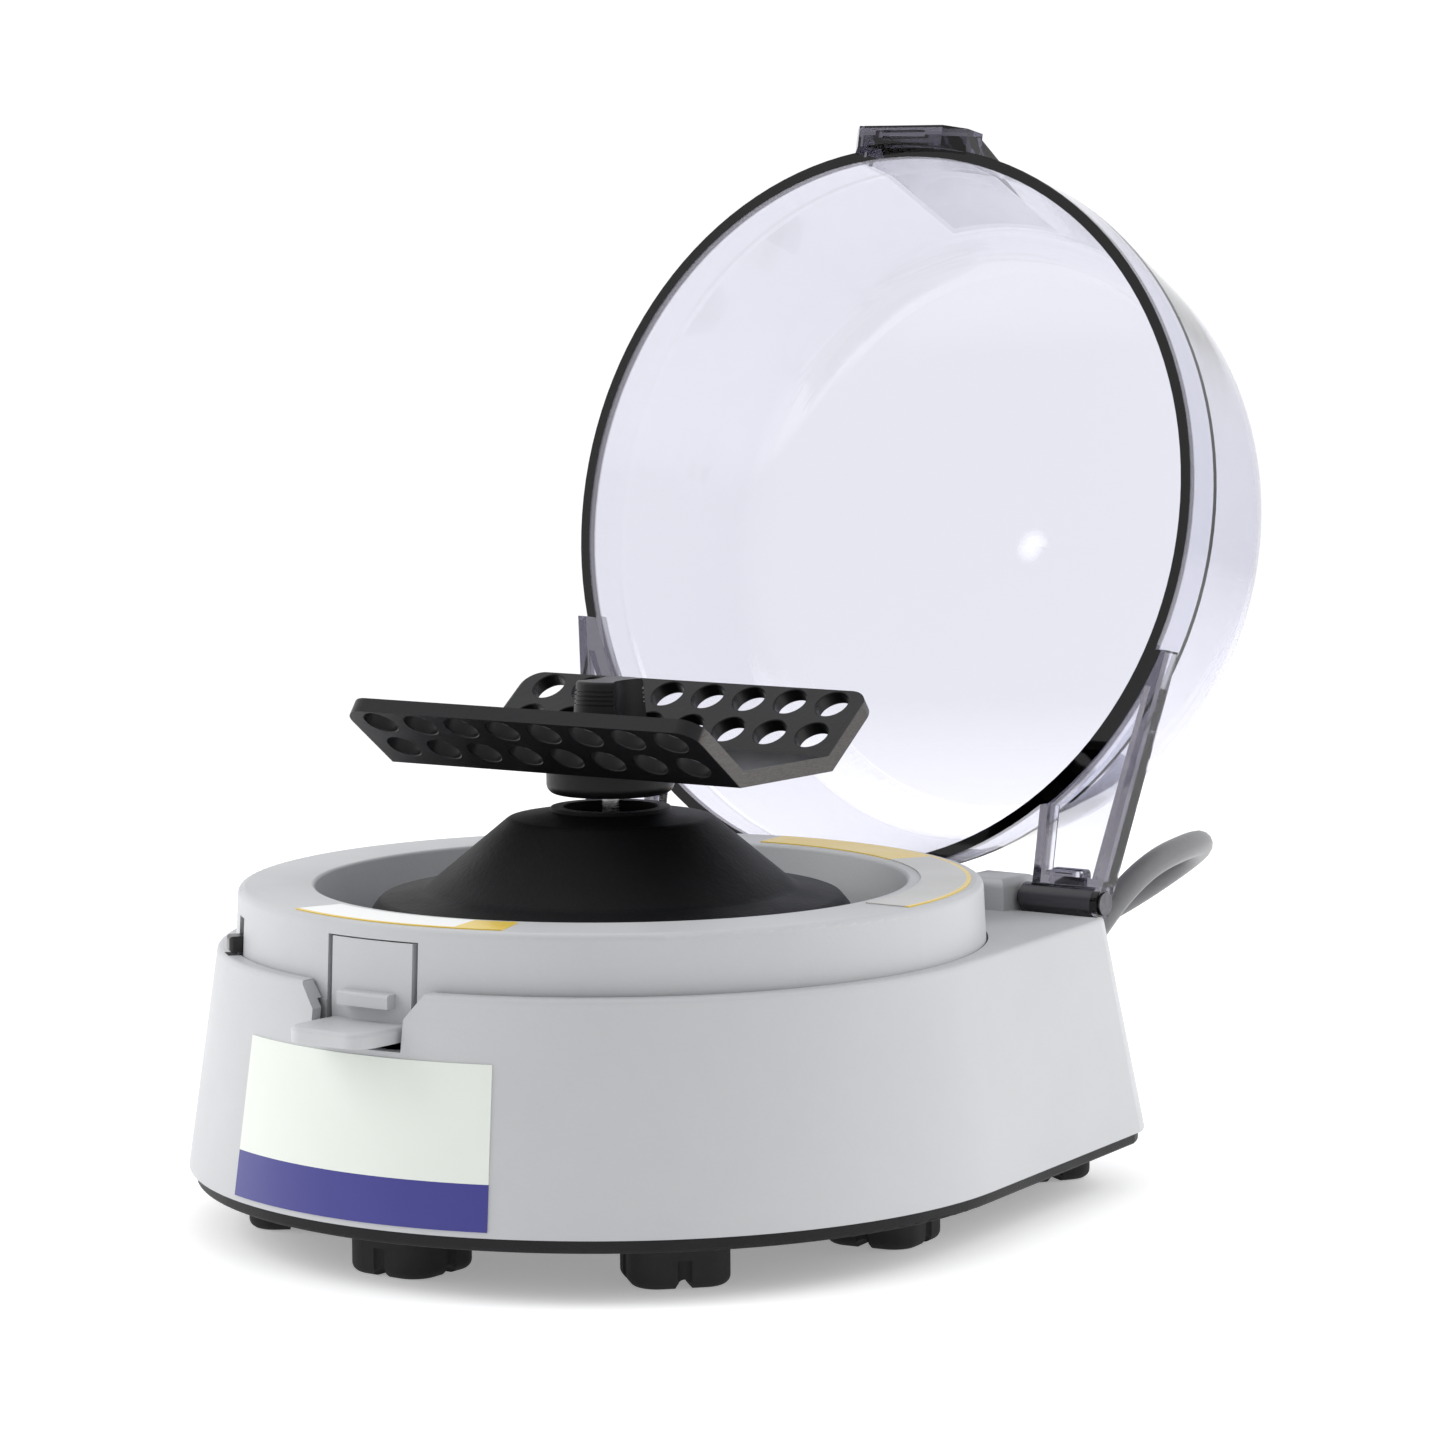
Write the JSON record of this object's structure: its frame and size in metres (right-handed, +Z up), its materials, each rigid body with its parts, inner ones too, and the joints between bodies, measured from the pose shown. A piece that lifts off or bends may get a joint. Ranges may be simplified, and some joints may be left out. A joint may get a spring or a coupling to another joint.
{
  "type": "mini laboratory centrifuge for tube strips",
  "caption": "Round-fronted bench centrifuge with a hinged see-through dome lid, a tray rotor for tube strips over a cone shroud, and a mains lead.",
  "frame": {"origin": "on the rotor's axis, in the plane that the feet stand on", "axes": "+Z up along the rotor's axis, -Y to the front where the latch is, +X to the machine's right as its user faces it from the front"},
  "size_m": [0.1533, 0.243, 0.1959],
  "materials": {
    "housing_abs": "fine-grained moulded ABS, light warm grey",
    "black_plastic": "matte black moulded plastic",
    "rotor_plastic": "black moulded plastic with a slight sheen on edges",
    "rubber_black": "black rubber",
    "smoke_clear": "smoky violet see-through plastic",
    "steel": "ground steel",
    "zinc_steel": "zinc-plated steel",
    "label_white": "printed film label, pale with a dark blue band",
    "label_grey": "printed film label, grey with a yellow end",
    "copper": "enamelled copper windings",
    "bronze": "sintered bronze",
    "magnet": "dark ferrite",
    "board_green": "green circuit board",
    "board_black": "black component cases",
    "cord_grey": "mid grey PVC lead",
    "plug_grey": "mid grey moulded PVC",
    "plug_metal": "nickel-plated brass"
  },
  "bodies": {
    "base": {"outer_housing": "housing_abs", "drum_housing": "housing_abs", "base_plate": "black_plastic", "base_screws": "zinc_steel", "feet": "rubber_black", "cone_shroud": "black_plastic", "ring_label_front": "label_white", "ring_label_rear": "label_grey", "front_label": "label_white", "motor_can": "zinc_steel", "motor_end_cap": "black_plastic", "motor_bushes": "bronze", "motor_magnets": "magnet", "motor_plate": "zinc_steel", "motor_screws": "zinc_steel", "motor_mounts": "rubber_black", "circuit_board": "board_green", "board_standoffs": "zinc_steel", "board_parts": "board_black", "lid_switch": "board_black", "switch_bracket": "zinc_steel", "hinge_pins": "steel", "strain_relief": "plug_grey", "cord_lead": "cord_grey", "cord_coil": "cord_grey", "cord_tail": "cord_grey", "power_plug": "plug_grey", "plug_blades": "plug_metal"},
    "rotor": {"strip_rotor": "rotor_plastic", "rotor_hub": "rotor_plastic", "rotor_knob": "rotor_plastic", "motor_shaft": "steel", "motor_armature": "copper"},
    "lid": {"lid_shell": "smoke_clear", "hinge_barrels": "black_plastic"},
    "latch": {"latch_tongue": "housing_abs"},
    "plunger": {"lid_plunger": "black_plastic"}
  },
  "joints": [
    {"name": "lid_hinge", "type": "hinge", "parent": "base", "child": "lid", "pos_m": [0, 0.0714, 0.0526], "axis": [1, 0, 0], "range_deg": [0, 101]},
    {"name": "rotor_spin", "type": "hinge", "parent": "base", "child": "rotor", "pos_m": [0, 0, 0.08], "axis": [0, 0, 1], "continuous": true},
    {"name": "latch_press", "type": "hinge", "parent": "base", "child": "latch", "pos_m": [0, -0.0669, 0.0582], "axis": [1, 0, 0], "range_deg": [0, 6], "stiffness_Nm_per_rad": 1},
    {"name": "plunger_slide", "type": "slide", "parent": "base", "child": "plunger", "axis": [0, 0, -1], "range_m": [0, 0.0032]}
  ],
  "couplings": [
    {"joint": "plunger_slide", "follows": "lid_hinge", "m_per_rad": 0.0018}
  ]
}
